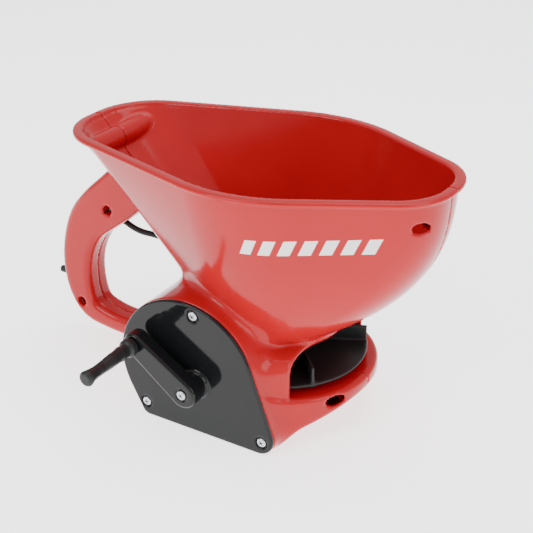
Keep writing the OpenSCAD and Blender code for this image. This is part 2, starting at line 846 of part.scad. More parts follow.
module lever_wire() {
    color(steel) translate([lever_c[0], 0, lever_c[1] + 1])
        cylinder(r = wire_r, h = lever_ferrule_z + ferrule_length - flow_travel - 1 - lever_c[1] - 1);
}

// ring of points round the cable at step i of its route
function cable_ring(p, i, r) =
    let (n = len(p),
        d = unit(p[min(i + 1, n - 1)] - p[max(i - 1, 0)]),
        u = unit(cross(d, [0, 1, 0])),
        v = cross(d, u))
    [for (k = [0:cable_turns - 1])
        p[i] + r * (u * cos(360 * k / cable_turns) + v * sin(360 * k / cable_turns))];

module cable_tube(r) {
    p = spline(cable_route, 3);
    n = cable_turns;
    m = len(p);
    points = [for (i = [0:m - 1]) each cable_ring(p, i, r)];
    sides = [for (j = [0:m - 2]) for (i = [0:n - 1])
        [j * n + i, j * n + (i + 1) % n, (j + 1) * n + (i + 1) % n, (j + 1) * n + i]];
    polyhedron(points, concat([[for (i = [n - 1:-1:0]) i]], sides, [[for (i = [0:n - 1]) (m - 1) * n + i]]),
        convexity = 6);
}

module control_cable() {
    color(black) cable_tube(cable_r);
}

module ferrule(length) {
    difference() {
        cylinder(r = cable_r, h = length);
        translate([0, 0, -1]) cylinder(r = wire_r + run_gap + 0.04, h = length + 2);
    }
}

module cable_ferrules() {
    color(steel) {
        translate([lever_c[0], 0, lever_ferrule_z]) ferrule(ferrule_length);
        translate([gate_ferrule_x, wire_y, wire_z]) rotate([0, -90, 0]) ferrule(ferrule_length);
    }
}

right_shell();
left_shell();
gear_cover();
cover_screws();
shell_screws();
throat_plate();
crank_gear();
crank_bush();
crank_arm();
crank_screw();
knob_pin();
crank_knob();
layshaft();
layshaft_pinion();
layshaft_bevel_gear();
layshaft_bushes();
impeller_shaft();
impeller_bevel_pinion();
impeller();
impeller_clip();
deck_bush();
foot_bush();
agitator();
flow_gate();
gate_wire();
flow_lever();
lever_wire();
control_cable();
cable_ferrules();
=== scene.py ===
import json
import math

import bpy
import numpy as np
from mathutils import Matrix, Vector


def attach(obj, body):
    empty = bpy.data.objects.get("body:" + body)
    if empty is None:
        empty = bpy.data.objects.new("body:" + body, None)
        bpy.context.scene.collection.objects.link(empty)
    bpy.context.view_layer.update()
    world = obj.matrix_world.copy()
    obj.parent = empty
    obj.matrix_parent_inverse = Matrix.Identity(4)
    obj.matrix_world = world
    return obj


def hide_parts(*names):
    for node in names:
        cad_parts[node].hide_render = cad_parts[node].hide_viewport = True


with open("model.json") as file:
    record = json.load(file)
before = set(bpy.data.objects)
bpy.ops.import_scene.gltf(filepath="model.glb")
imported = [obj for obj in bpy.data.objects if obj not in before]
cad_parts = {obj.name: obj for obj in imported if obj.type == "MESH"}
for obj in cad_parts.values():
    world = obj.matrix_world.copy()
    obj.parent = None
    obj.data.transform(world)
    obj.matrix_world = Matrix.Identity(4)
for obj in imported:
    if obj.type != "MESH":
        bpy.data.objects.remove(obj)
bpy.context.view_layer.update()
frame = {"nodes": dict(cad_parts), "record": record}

# Hand-held broadcast spreader. Sizes are in millimetres and are turned to metres when a mesh is made.
# The frame is the CAD model's: the impeller's axis meets the floor at the origin, +X is the
# throwing direction, -Y the crank side and +Z up.
MM = 0.001

# ---- sizes shared by the moulded shells ----

RIM_TOP = 199.0
RIM_CORNERS = np.array([(-170.0, -44.0), (7.5, -97.0), (130.0, -31.6),
                        (130.0, 31.6), (7.5, 97.0), (-170.0, 44.0)])
RIM_RADII = np.array([50.0, 107.0, 46.0, 46.0, 107.0, 50.0])
LIP_WIDTH = 4.6
LIP_THICKNESS = 3.6
WALL = 3.2
SKIN = 2.8
THROAT_R = 46.0
THROAT_Z = 67.0
THROAT_FLOOR = 3.0
# how each corner spreads with height; the two front ones follow FRONT_FLARE instead
FLARE = np.array([1.0, 0.5, 0.5, 0.5, 0.5, 1.0])
IS_FRONT = np.array([False, False, True, True, False, False])
FRONT_FLARE_START = 0.045
FRONT_FLARE = 2.6
BASE_R = 72.0
DECK_Z = 39.0
DECK_THICKNESS = 3.0
CHAMBER_R = 66.6
CHAMBER_WALL = 3.4
MOUTH_X = 38.0
FRONT_START = 23.0
FRONT_RISE = math.radians(30.5)
COVER_Y = 79.4
COVER_THICKNESS = 3.0
HOUSING_Y = COVER_Y - COVER_THICKNESS
COVER_CIRCLES = [(-71.0, 7.0, 7.0), (24.0, 13.0, 13.0), (-36.0, 49.0, 57.4)]
CRANK = (-27.0, 43.0)
HANDLE_HALF = 13.0
HANDLE_LINE = [(-108, 160, 20), (-130, 150, 20), (-148.5, 134.5, 20), (-165, 121, 19), (-179, 107, 17.2),
               (-188.5, 87.5, 15.4), (-192.8, 66.5, 14.25), (-191, 44, 13), (-182.5, 27.5, 10.4),
               (-165, 21.5, 8.6), (-146, 19.5, 8.2), (-110, 18.5, 8.4), (-66, 18.5, 8.6)]
# the handle lies behind this X, and further forward its distance is only this large number
HANDLE_REACH_X = -55
HANDLE_BEYOND = 60.0
HANDLE_SCREWS = [(-154.0, 124.0), (-189.0, 33.0)]
FRONT_SCREW = (116.0, 178.0)
DECK_SCREW = (62.0, 32.0)
POCKET_R = 4.1
SCREW_Y = 5.0
BOSS_R = 5.6
FRONT_BOSS_HALF = 16
DECK_BOSS_HALF = 24
GRIP_BOSS_HALF = 12
BEAD = (-148.0, 183.0)
BEAD_R = 8.5
PARTING_GAP = 0.04
LEVER = (-185.0, 51.0)
FLOW_TRAVEL = 22.0
SLOT_HALF = 2.2
SLOT_FRONT_X = -197
LEVER_TIP_X = -219
LEVER_KNOB_R = 3
WIRE_HOLE_R = 0.82
# edge of the shells' mesh cells, and how many cells the coarse pass steps over
CELL = 1.5
COARSE = 3
COVER_SCREWS = [(-28.0, 97.5), (-73.0, 11.5), (27.5, 10.5)]
COVER_POCKET_R = 4.8
COVER_POCKET_DEPTH = 1.6
HEAD_R = 3.6
HEAD_HEIGHT = 2.2
SHANK_R = 1.78
DOME_R = 6.2
CROSS_HALF = 0.45
CROSS_REACH = 2.0
BUSH_R = 7.02
ARM_BACK = 86.0
ARM_FRONT = 98.0
ARM_HUB_R = 11.0
ARM_KNOB_R = 8.5
CRANK_ANGLE = 144.7
CRANK_LENGTH = 50
KNOB = (CRANK[0] + CRANK_LENGTH * math.cos(math.radians(CRANK_ANGLE)),
        CRANK[1] + CRANK_LENGTH * math.sin(math.radians(CRANK_ANGLE)))
KNOB_LENGTH = 52.0
# (radius, distance along) from the knob's collar to its end
KNOB_PROFILE = [(7, 0), (7, 6), (5.2, 7.5), (5.2, 11), (6, 14),
                (6.2, 24), (5, 34), (4.9, 41), (6, 47), (5.9, 52)]
KNOB_FLAT_HALF = 4.4
FACET_SHARE = 0.955
DISC_R = 63.5
DISC_Z = 44.6
DISC_THICKNESS = 2.4
DISC_HUB_R = 8.0
DISC_BORE_R = 3.05
VANE_HEIGHT = 14.0
VANE_COUNT = 5
VANE_START = 34
VANE_SWEEP = 8
VANE_OFFSET = 6
VANE_HALF = 1.3
CABLE_ROUTE = [(-185, 0, 113.7), (-184, 0, 119), (-179, 0, 123.5), (-172.5, 0, 123), (-166, 0, 119),
               (-159.5, 0, 115), (-152, 0, 113.5), (-145, 0, 111), (-138.5, 1, 107.5), (-132, 3.5, 104.5),
               (-124, 7, 102.5), (-116, 10, 100), (-108, 13, 95.5), (-102, 16, 88), (-99, 18, 80),
               (-99.5, 19, 73), (-98, 19.8, 68), (-94.4, 20, 66.1)]
# further than anything in the model
FAR = 1e9

# ---- signed distances: negative inside, in millimetres ----


def smooth_min(a, b, k):
    """Union of two solids with a fillet about k wide where they meet."""
    h = np.maximum(k - np.abs(a - b), 0.0) / k
    return np.minimum(a, b) - h * h * k / 4


def smooth_max(a, b, k):
    """Intersection of two solids with its edge rounded over about k."""
    return -smooth_min(-a, -b, k)


def extruded(flat, across, half, r):
    """Solid with the flat outline's distance, 2 * half thick, its edges rounded to radius r."""
    u = flat + r
    v = np.abs(across) - half + r
    return np.minimum(np.maximum(u, v), 0) + np.hypot(np.maximum(u, 0), np.maximum(v, 0)) - r


def capsule(x, z, a, b):
    """Distance to the convex outline round the two circles a and b, each (x, z, r)."""
    ax, az, ra = a
    bx, bz, rb = b
    dx, dz = bx - ax, bz - az
    length = math.hypot(dx, dz)
    along = ((x - ax) * dx + (z - az) * dz) / length
    aside = np.abs((x - ax) * dz - (z - az) * dx) / length
    lean = (ra - rb) / length
    upright = math.sqrt(max(1e-9, 1 - lean * lean))
    k = -lean * aside + upright * along
    near_a = np.hypot(along, aside) - ra
    near_b = np.hypot(along - length, aside) - rb
    side = upright * aside + lean * along - ra
    return np.where(k < 0, near_a, np.where(k > upright * length, near_b, side))


def inset_corners(corners, d):
    """Corners of a convex outline, (..., 6, 2) anticlockwise, moved inwards by d."""
    back = corners - np.roll(corners, 1, axis=-2)
    ahead = np.roll(corners, -1, axis=-2) - corners
    back = back / np.linalg.norm(back, axis=-1, keepdims=True)
    ahead = ahead / np.linalg.norm(ahead, axis=-1, keepdims=True)
    normals = np.stack([-back[..., 1], back[..., 0]], -1)
    others = np.stack([-ahead[..., 1], ahead[..., 0]], -1)
    dot = (normals * others).sum(-1, keepdims=True)
    return corners + d * (normals + others) / (1 + dot)


def rounded_outline(x, y, corners, radii):
    """Distance to a convex outline whose corners are rounded; corners and radii may differ per point."""
    ahead = np.roll(corners, -1, axis=-2) - corners
    length = np.linalg.norm(ahead, axis=-1)
    ahead = ahead / length[..., None]
    back = np.roll(ahead, 1, axis=-2)
    turn = np.arccos(np.clip((ahead * back).sum(-1), -1, 1))
    room = 0.498 * np.minimum(length, np.roll(length, 1, axis=-1)) / np.tan(turn / 2)
    radii = np.minimum(radii, room)
    inward = np.stack([-ahead[..., 1], ahead[..., 0]], -1)
    centres = corners + ahead * (radii * np.tan(turn / 2))[..., None] + inward * radii[..., None]
    distance = np.full(np.shape(x), -FAR)
    for k in range(6):
        out = -inward[..., k, :]
        d = (x - corners[..., k, 0]) * out[..., 0] + (y - corners[..., k, 1]) * out[..., 1]
        distance = np.maximum(distance, d)
    for k in range(6):
        px = x - centres[..., k, 0]
        py = y - centres[..., k, 1]
        past = px * back[..., k, 0] + py * back[..., k, 1]
        before = px * ahead[..., k, 0] + py * ahead[..., k, 1]
        in_corner = (past > 0) & (before < 0)
        distance = np.where(in_corner, np.hypot(px, py) - radii[..., k], distance)
    return distance


THROAT_ANGLES = np.radians([210, 270, 330, 30, 90, 150])
THROAT_CORNERS = THROAT_R / math.cos(math.radians(30)) * np.stack(
    [np.cos(THROAT_ANGLES), np.sin(THROAT_ANGLES)], -1)
WALL_CORNERS = inset_corners(RIM_CORNERS, LIP_WIDTH)


def hopper_section(share):
    """Corners and corner radii of the hopper's outside at share of its height."""
    share = np.clip(share, 1e-5, 1)[..., None]
    belly = 1 - (1 - np.maximum(share - FRONT_FLARE_START, 0) / (1 - FRONT_FLARE_START)) ** FRONT_FLARE
    w = np.where(IS_FRONT, belly, share ** FLARE)
    corners = THROAT_CORNERS + (WALL_CORNERS - THROAT_CORNERS) * w[..., None]
    return corners, THROAT_R + (RIM_RADII - LIP_WIDTH - THROAT_R) * w


def hopper_wall(x, y, z):
    """Distance to the hopper's outer face, before its top and bottom are cut off."""
    top = RIM_TOP - LIP_THICKNESS / 2
    share = (z - THROAT_Z) / (top - THROAT_Z)
    step = 0.5 / (top - THROAT_Z)
    flat = rounded_outline(x, y, *hopper_section(share))
    above = rounded_outline(x, y, *hopper_section(share + step))
    slope = np.where(share + step < 1, (above - flat) / 0.5, 0.0)
    return flat / np.sqrt(1 + slope * slope)


def spline_point(p, i, t):
    """Point a share t of the way from p[i] to p[i + 1], on a smooth run through the rows of p."""
    p0, p1, p2, p3 = p[max(i - 1, 0)], p[i], p[i + 1], p[min(i + 2, len(p) - 1)]
    return 0.5 * (2 * p1 + (p2 - p0) * t + (2 * p0 - 5 * p1 + 4 * p2 - p3) * t * t
                  + (3 * p1 - p0 - 3 * p2 + p3) * t ** 3)


def handle_outline():
    """The handle's centre line and half depth as a smooth run of circles."""
    p = np.array(HANDLE_LINE, float)
    out = [spline_point(p, i, t) for i in range(len(p) - 1) for t in (0.0, 0.33, 0.67)]
    return out + [p[-1]]


HANDLE_CIRCLES = handle_outline()


def handle_flat(x, z):
    """Distance to the handle's loop as seen from the side."""
    near = x < HANDLE_REACH_X
    d = np.full(np.shape(x), HANDLE_BEYOND)
    xs, zs = x[near], z[near]
    best = np.full(xs.shape, FAR)
    for a, b in zip(HANDLE_CIRCLES[:-1], HANDLE_CIRCLES[1:]):
        best = np.minimum(best, capsule(xs, zs, a, b))
    d[near] = best
    return d


def round_hull(x, z, circles):
    """Distance to the outline pulled tight round circles (x, z, r), listed anticlockwise."""
    n = len(circles)
    leans = []
    for (ax, az, ra), (bx, bz, rb) in zip(circles, circles[1:] + circles[:1]):
        leans.append(math.atan2(bz - az, bx - ax) - math.acos((ra - rb) / math.hypot(bx - ax, bz - az)))
    d = np.full(np.shape(x), -FAR)
    for k, (cx, cz, r) in enumerate(circles):
        d = np.maximum(d, (x - cx) * math.cos(leans[k]) + (z - cz) * math.sin(leans[k]) - r)
    for k, (cx, cz, r) in enumerate(circles):
        start = leans[k - 1]
        span = (leans[k] - start) % (2 * math.pi)
        angle = (np.arctan2(z - cz, x - cx) - start) % (2 * math.pi)
        d = np.where(angle < span, np.hypot(x - cx, z - cz) - r, d)
    return d


def bar(x, z, centre, r):
    """Distance to an endless round bar along Y."""
    return np.hypot(x - centre[0], z - centre[1]) - r


def shell_distance(x, y, z, side):
    """Distance to one moulded half: side is -1 for the crank side and 1 for the other."""
    radial = np.hypot(x, y)
    # outside of the hopper, base, impeller shroud, gear housing and handle
    wall = hopper_wall(x, y, z)
    hopper = np.maximum(wall, np.maximum(THROAT_Z - z, z - RIM_TOP + 2))
    rim_flat = rounded_outline(x, y, RIM_CORNERS, RIM_RADII)
    lip = extruded(rim_flat, z - (RIM_TOP - LIP_THICKNESS / 2), LIP_THICKNESS / 2, 1.3)
    slope = (FRONT_START - x) * math.sin(FRONT_RISE) + z * math.cos(FRONT_RISE)
    base = smooth_max(radial - BASE_R, z - DECK_Z, 5.0)
    base = smooth_max(base, np.maximum(-slope, -z), 3.0)
    core = smooth_max(radial - CHAMBER_R - CHAMBER_WALL, z - THROAT_Z - CHAMBER_WALL, 17.0)
    shroud = smooth_max(smooth_max(core, x - MOUTH_X, 3.0), DECK_Z - 8 - z, 0.5)
    loop = handle_flat(x, z)
    handle = extruded(loop, y, HANDLE_HALF, 6.0)
    outside = smooth_min(base, shroud, 2.0)
    outside = smooth_min(outside, hopper, 5.0)
    if side < 0:
        plate = round_hull(x, z, COVER_CIRCLES)
        housing = smooth_max(plate, np.maximum(-y - HOUSING_Y, y + 20), 1.2)
        outside = smooth_min(outside, housing, 11.0)
    outside = smooth_min(outside, handle, 9.0)
    shell = smooth_min(outside, lip, 3.0)
    # hollows: hopper, throat, impeller chamber, its mouth, base, gear housing and handle
    shell = smooth_max(shell, -np.maximum(wall + WALL, THROAT_Z + THROAT_FLOOR - z), 1.2)
    shell = np.maximum(shell, -np.maximum(radial - THROAT_R + 3, np.abs(z - THROAT_Z) - 6))
    chamber = smooth_max(radial - CHAMBER_R, z - THROAT_Z, 13.0)
    shell = smooth_max(shell, -np.maximum(chamber, DECK_Z - z), 1.5)
    mouth = np.maximum(np.maximum(MOUTH_X - x, DECK_Z - z), z - THROAT_Z)
    lower = smooth_max(radial - BASE_R + SKIN, z - DECK_Z + DECK_THICKNESS, 5.0)
    lower = smooth_max(lower, np.maximum(SKIN - slope, SKIN - z), 3.0)
    shell = np.maximum(shell, -np.minimum(mouth, lower))
    if side < 0:
        box = np.maximum(plate + SKIN, np.maximum(-y - HOUSING_Y - 5, y + 28))
        box = np.maximum(box, -np.minimum(np.maximum(core, DECK_Z - DECK_THICKNESS - z), hopper))
        shell = np.maximum(shell, -box)
    grip = extruded(loop + SKIN, y, HANDLE_HALF - SKIN, 3.2)
    shell = np.maximum(shell, -np.maximum(grip, -np.minimum(hopper, base)))
    # bead across the inside of the rear wall
    bead = np.maximum(bar(x, z, BEAD, BEAD_R), hopper)
    shell = smooth_min(shell, bead, 2.0)
    # screw bosses, and the pockets that the heads sit in
    grips = np.minimum(bar(x, z, HANDLE_SCREWS[0], BOSS_R), bar(x, z, HANDLE_SCREWS[1], BOSS_R))
    boss = np.maximum(bar(x, z, FRONT_SCREW, BOSS_R), np.abs(y) - FRONT_BOSS_HALF)
    boss = np.minimum(boss, np.maximum(bar(x, z, DECK_SCREW, BOSS_R), np.abs(y) - DECK_BOSS_HALF))
    boss = np.minimum(boss, np.maximum(grips, np.abs(y) - GRIP_BOSS_HALF))
    shell = np.minimum(shell, np.maximum(boss, np.minimum(np.minimum(hopper, base), handle)))
    axes = np.minimum(bar(x, z, FRONT_SCREW, 0), bar(x, z, DECK_SCREW, 0))
    pockets = np.minimum(grips + BOSS_R, axes) - POCKET_R
    shell = smooth_max(shell, -np.maximum(pockets, y + SCREW_Y), 1.0)
    # slot for the flow lever
    slot_z = np.abs(z - LEVER[1] - FLOW_TRAVEL / 2) - FLOW_TRAVEL / 2 - 3
    slot = np.maximum(np.abs(y) - SLOT_HALF, slot_z)
    shell = smooth_max(shell, -np.maximum(slot, x - SLOT_FRONT_X), 0.8)
    # each half stops a hair short of the middle plane, with an eased edge, which leaves the parting line
    return smooth_max(shell, -side * y + PARTING_GAP, 0.7)


# ---- meshes ----


def surface_net(distance, low, high, cell):
    """Quads round the zero level of distance(x, y, z) in a box, pulled exactly on to that level."""
    axes = [np.arange(lo, hi + cell, cell) for lo, hi in zip(low, high)]
    nx, ny, nz = (len(a) for a in axes)
    # a coarse pass finds the cells near the surface, and only those are measured finely
    coarse = np.meshgrid(*(a[::COARSE] for a in axes), indexing="ij")
    rough = distance(*(c.ravel() for c in coarse)).reshape(coarse[0].shape)
    index = np.meshgrid(*(np.minimum((np.arange(n) + COARSE // 2) // COARSE, m - 1)
                          for n, m in zip((nx, ny, nz), rough.shape)), indexing="ij")
    field = rough[tuple(index)]
    near = np.argwhere(np.abs(field) < (1.3 * COARSE + 1) * cell)
    points = near * cell + np.array([a[0] for a in axes])
    field[tuple(near.T)] = distance(*points.T)
    inside = field < 0
    corner = [(i, j, k) for i in (0, 1) for j in (0, 1) for k in (0, 1)]
    count = np.zeros((nx - 1, ny - 1, nz - 1), np.int8)
    for i, j, k in corner:
        count += inside[i:nx - 1 + i, j:ny - 1 + j, k:nz - 1 + k]
    cells = np.argwhere((count > 0) & (count < 8))
    index = np.full((nx - 1, ny - 1, nz - 1), -1, np.int64)
    index[tuple(cells.T)] = np.arange(len(cells))
    total = np.zeros((len(cells), 3))
    number = np.zeros(len(cells))
    for a in corner:
        for axis in range(3):
            if a[axis]:
                continue
            b = list(a)
            b[axis] = 1
            fa = field[tuple((cells + a).T)]
            fb = field[tuple((cells + b).T)]
            crossed = (fa < 0) != (fb < 0)
            t = np.where(crossed, fa / np.where(crossed, fa - fb, 1), 0)
            point = np.array(a, float)[None, :] + np.eye(3)[axis][None, :] * t[:, None]
            total += point * crossed[:, None]
            number += crossed
    points = (cells + total / number[:, None]) * cell + np.array([a[0] for a in axes])
    quads = []
    for axis in range(3):
        u, v = (axis + 1) % 3, (axis + 2) % 3
        size = [nx, ny, nz]
        here = [slice(1, s - 1) for s in size]
        here[axis] = slice(0, size[axis] - 1)
        there = list(here)
        there[axis] = slice(1, size[axis])
        a, b = inside[tuple(here)], inside[tuple(there)]
        edges = np.argwhere(a != b)
        flip = a[tuple(edges.T)]
        edges = edges + [s.start for s in here]
        ring = []
        for du, dv in ((-1, -1), (0, -1), (0, 0), (-1, 0)):
            shift = np.zeros(3, int)
            shift[u], shift[v] = du, dv
            ring.append(index[tuple((edges + shift).T)])
        ring = np.stack(ring, 1)
        quads.append(np.where(flip[:, None], ring, ring[:, ::-1]))
    quads = np.concatenate(quads)
    edge_a = np.concatenate([quads[:, i] for i in range(4)])
    edge_b = np.concatenate([quads[:, (i + 1) % 4] for i in range(4)])
    degree = np.bincount(edge_a, minlength=len(points))
    for turn in range(3):
        if turn:
            mean = np.stack([np.bincount(edge_a, points[edge_b, c], len(points)) for c in range(3)], 1)
            points = points * 0.4 + 0.6 * mean / degree[:, None]
        points = pull(distance, points, cell)
    return points, quads


def pull(distance, points, cell):
    """Moves points along the distance's slope on to its zero level, by at most half a cell."""
    h = 0.05
    x, y, z = points.T
    f = distance(x, y, z)
    slope = np.stack([distance(x + h, y, z) - f, distance(x, y + h, z) - f, distance(x, y, z + h) - f], 1) / h
    length = np.maximum((slope ** 2).sum(1), 0.2)
    move = slope * (f / length)[:, None]
    size = np.linalg.norm(move, axis=1)
    move *= np.minimum(1, 0.5 * cell / np.maximum(size, 1e-9))[:, None]
    return points - move


def mesh_object(name, points, faces, smooth=True):
    mesh = bpy.data.meshes.new(name)
    mesh.from_pydata((np.asarray(points) * MM).tolist(), [], [tuple(int(i) for i in f) for f in faces])
    mesh.validate()
    mesh.polygons.foreach_set("use_smooth", [smooth] * len(mesh.polygons))
    obj = bpy.data.objects.new(name, mesh)
    bpy.context.scene.collection.objects.link(obj)
    return obj


def net_object(name, distance, low, high, cell):
    return mesh_object(name, *surface_net(distance, low, high, cell))


def cover_distance(x, y, z):
    """Gear-housing cover: a plate with rounded edges, a boss round the crank, three screw recesses and a hole
    for the crank's bush.
    """
    flat = round_hull(x, z, COVER_CIRCLES)
    plate = extruded(flat + 0.15, y + (HOUSING_Y + COVER_Y) / 2, (COVER_Y - HOUSING_Y) / 2, 1.3)
    boss = extruded(bar(x, z, CRANK, 10.5), y + COVER_Y + 0.5, 2.5, 1.0)
    cover = smooth_min(plate, boss, 3.0)
    for centre in COVER_SCREWS:
        recess = np.maximum(bar(x, z, centre, COVER_POCKET_R), y + COVER_Y - COVER_POCKET_DEPTH)
        cover = smooth_max(cover, -recess, 0.8)
    return np.maximum(cover, -bar(x, z, CRANK, BUSH_R))


def arm_distance(x, y, z):
    """Crank arm: a tapering bar with a recessed hub for the screw and a short boss on its back."""
    outline = capsule(x, z, (*CRANK, ARM_HUB_R), (*KNOB, ARM_KNOB_R))
    arm = extruded(outline, y + (ARM_BACK + ARM_FRONT) / 2, (ARM_FRONT - ARM_BACK) / 2, 2.4)
    hub = np.maximum(bar(x, z, CRANK, HEAD_R + 1.4), y + ARM_FRONT - 1.0)
    arm = smooth_max(arm, -hub, 0.8)
    boss = extruded(bar(x, z, CRANK, ARM_HUB_R - 0.3), y + ARM_BACK - 0.4, 2.6, 0.6)
    arm = smooth_min(arm, boss, 0.6)
    return np.maximum(arm, -bar(x, z, CRANK, 2.0))


def knob_distance(x, y, z):
    """Turned hand knob, its grip flattened on two sides and facetted."""
    along = -y - ARM_FRONT - 0.5
    px, pz = x - KNOB[0], z - KNOB[1]
    places = [p[1] for p in KNOB_PROFILE]
    radius = np.interp(along, places, [p[0] for p in KNOB_PROFILE])
    round_d = np.hypot(px, pz) - radius
    flats = np.full(np.shape(x), -FAR)
    for k in range(8):
        a = math.radians(CRANK_ANGLE + 22.5 + 45 * k)
        flats = np.maximum(flats, px * math.cos(a) + pz * math.sin(a) - FACET_SHARE * radius)
    a = math.radians(90 - CRANK_ANGLE)
    pressed = np.abs(px * math.sin(a) + pz * math.cos(a)) - KNOB_FLAT_HALF
    grip = smooth_max(flats, pressed, 1.5)
    share = np.clip((along - 12.5) / 4, 0, 1) * np.clip((50 - along) / 4, 0, 1)
    side = smooth_max(round_d, share * grip + (1 - share) * round_d, 0.6)
    ends = np.abs(along - KNOB_LENGTH / 2) - KNOB_LENGTH / 2
    return smooth_max(side, ends, 2.6)


def impeller_distance(x, y, z):
    """Spinning disc with a hub and five swept vanes, filleted where they meet."""
    radial = np.hypot(x, y)
    disc = extruded(radial - DISC_R, z - DISC_Z, DISC_THICKNESS / 2, 0.9)
    bottom = DISC_Z - DISC_THICKNESS / 2
    hub = extruded(radial - DISC_HUB_R, z - bottom - VANE_HEIGHT / 2, VANE_HEIGHT / 2, 1.0)
    vanes = np.full(np.shape(x), FAR)
    for k in range(VANE_COUNT):
        a = math.radians(VANE_START + 360 / VANE_COUNT * k)
        u, v = x * math.cos(a) + y * math.sin(a), y * math.cos(a) - x * math.sin(a) - VANE_OFFSET
        a = math.radians(-VANE_SWEEP)
        u, v = u * math.cos(a) + v * math.sin(a), v * math.cos(a) - u * math.sin(a)
        vane = smooth_max(np.abs(v) - VANE_HALF + 0.02 * (z - bottom), np.maximum(9 - u, bottom - z), 0.4)
        vanes = np.minimum(vanes, vane)
    vanes = smooth_max(vanes, np.maximum(radial - DISC_R + 0.4, z - bottom - VANE_HEIGHT - 1.2), 0.8)
    solid = smooth_min(smooth_min(disc, hub, 2.5), vanes, 2.0)
    return np.maximum(solid, DISC_BORE_R - radial)


def lever_distance(x, y, z):
    """Flow lever: a thin tab through the slot, with a block that slides inside the grip."""
    tab = extruded(np.maximum(np.abs(x + 203) - 16, np.abs(z - LEVER[1]) - 2.2), y, 1.8, 0.7)
    ribs = 0.3 * np.maximum(np.cos((x - LEVER_TIP_X) * math.pi), 0)
    knob_r = np.hypot(y, z - LEVER[1]) - LEVER_KNOB_R + ribs
    tab = smooth_min(tab, smooth_max(knob_r, np.abs(x + 216) - 3, 1.2), 1.0)
    block = np.maximum(np.abs(x + 186) - 4, np.maximum(np.abs(y) - 6, np.abs(z - LEVER[1] - 2) - 7))
    solid = np.minimum(tab, block)
    wire = np.maximum(np.hypot(x - LEVER[0], y) - WIRE_HOLE_R, LEVER[1] + 1 - z)
    return np.maximum(solid, -wire)


def screw_distance(x, y, z):
    """Pan-head screw on the Y axis, its seat at y = 0 and its head towards -Y, with a cross recess."""
    radial = np.hypot(x, z)
    head = np.maximum(radial - HEAD_R, np.maximum(-y - HEAD_HEIGHT, y))
    dome = np.sqrt(radial ** 2 + (y - DOME_R) ** 2) - DOME_R - HEAD_HEIGHT
    head = smooth_max(head, dome, 0.7)
    shank = np.maximum(radial - SHANK_R, np.maximum(-y - 0.5, y - 6))
    cross = np.minimum(np.maximum(np.abs(x) - CROSS_HALF, np.abs(z) - CROSS_REACH),
                       np.maximum(np.abs(z) - CROSS_HALF, np.abs(x) - CROSS_REACH))
    depth = y + 1.0 - 0.5 * radial
    return smooth_max(smooth_min(head, shank, 0.3), -np.maximum(cross, depth), 0.3)


# ---- pieces made by node groups ----


def node(tree, kind, settings=None, inputs=None):
    """Adds a node, sets its properties, then sets or links its inputs. A key is a socket's name or index."""
    made = tree.nodes.new(kind)
    for key, value in (settings or {}).items():
        setattr(made, key, value)
    for key, value in (inputs or {}).items():
        if isinstance(value, bpy.types.NodeSocket):
            tree.links.new(value, made.inputs[key])
        else:
            made.inputs[key].default_value = value
    return made


def copies(name, source, places, finish, turn):
    """One plain mesh with source at each place (mm), each turned about Y by a seeded share of turn."""
    points = mesh_object(name + "_places", places, [])
    tree = bpy.data.node_groups.new(name + "_copies", "GeometryNodeTree")
    face = tree.interface
    face.new_socket("Geometry", in_out="INPUT", socket_type="NodeSocketGeometry")
    wanted = {}
    for label, kind, value in (("Source", "NodeSocketObject", source), ("Turn", "NodeSocketFloat", turn),
                               ("Finish", "NodeSocketMaterial", finish), ("Seed", "NodeSocketInt", 7)):
        wanted[face.new_socket(label, in_out="INPUT", socket_type=kind).identifier] = value
    face.new_socket("Geometry", in_out="OUTPUT", socket_type="NodeSocketGeometry")
    given = node(tree, "NodeGroupInput").outputs
    part = node(tree, "GeometryNodeObjectInfo", inputs={"Object": given["Source"]})
    high = node(tree, "ShaderNodeCombineXYZ", inputs={"Y": given["Turn"]})
    angle = node(tree, "FunctionNodeRandomValue", {"data_type": "FLOAT_VECTOR"},
                 {"Min": (0, 0, 0), "Max": high.outputs[0], "Seed": given["Seed"]})
    spread = node(tree, "GeometryNodeInstanceOnPoints",
                  inputs={"Points": given["Geometry"], "Instance": part.outputs["Geometry"],
                          "Rotation": angle.outputs[0]})
    real = node(tree, "GeometryNodeRealizeInstances", inputs={"Geometry": spread.outputs[0]})
    painted = node(tree, "GeometryNodeSetMaterial",
                   inputs={"Geometry": real.outputs[0], "Material": given["Finish"]})
    node(tree, "NodeGroupOutput", inputs={"Geometry": painted.outputs[0]})
    modifier = points.modifiers.new("copies", "NODES")
    modifier.node_group = tree
    for identifier, value in wanted.items():
        modifier[identifier] = value
    shown = points.evaluated_get(bpy.context.evaluated_depsgraph_get())
    mesh = bpy.data.meshes.new_from_object(shown)
    bpy.data.objects.remove(points)
    obj = bpy.data.objects.new(name, mesh)
    bpy.context.scene.collection.objects.link(obj)
    return obj


